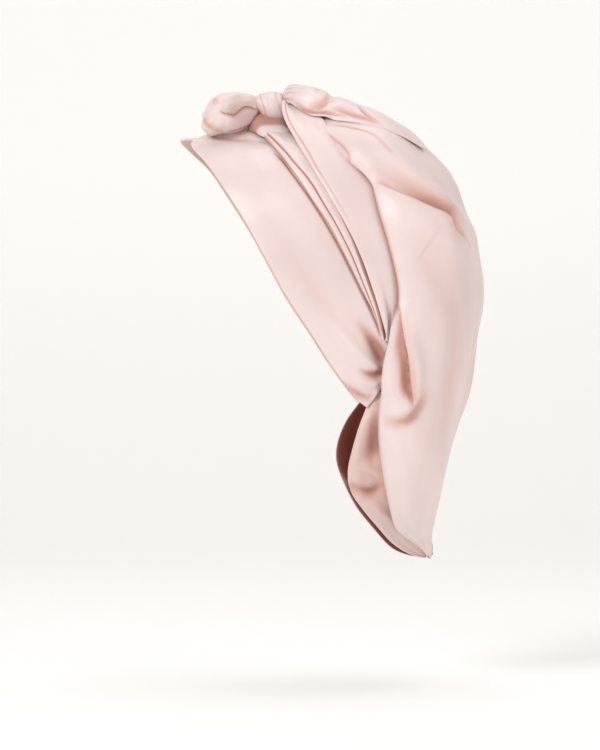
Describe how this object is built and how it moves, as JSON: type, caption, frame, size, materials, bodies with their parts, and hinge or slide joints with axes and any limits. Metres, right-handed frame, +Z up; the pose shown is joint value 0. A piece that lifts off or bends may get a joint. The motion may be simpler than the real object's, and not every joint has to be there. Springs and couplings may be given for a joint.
{
  "type": "sleep bonnet",
  "caption": "Satin sleep bonnet in its worn form: a band over the brow, side pleats and straps meeting in a knotted bow on the crown, and a long gathered bag down to the nape.",
  "frame": {"origin": "crown of the wearer's head, against the inside of the cloth just behind the knot", "axes": "-X to the front (the face opening), +Y to the wearer's right, +Z up"},
  "size_m": [0.2134, 0.1754, 0.3391],
  "materials": {
    "bag_satin": "soft satin weave",
    "brow_band_left_satin": "smooth satin",
    "brow_band_right_satin": "smooth satin",
    "side_pleats_left_satin": "smooth satin",
    "side_pleats_right_satin": "smooth satin",
    "side_strap_left_satin": "smooth satin",
    "side_strap_right_satin": "smooth satin",
    "nape_panel_satin": "smooth satin",
    "rear_loop_satin": "smooth satin",
    "front_loop_satin": "smooth satin",
    "knot_base_satin": "smooth satin",
    "knot_satin": "smooth satin"
  },
  "bodies": {
    "root": {"bag": "bag_satin", "brow_band_left": "brow_band_left_satin", "brow_band_right": "brow_band_right_satin", "side_pleats_left": "side_pleats_left_satin", "side_pleats_right": "side_pleats_right_satin", "side_strap_left": "side_strap_left_satin", "side_strap_right": "side_strap_right_satin", "nape_panel": "nape_panel_satin", "rear_loop": "rear_loop_satin", "front_loop": "front_loop_satin", "knot_base": "knot_base_satin", "knot": "knot_satin"}
  },
  "joints": []
}
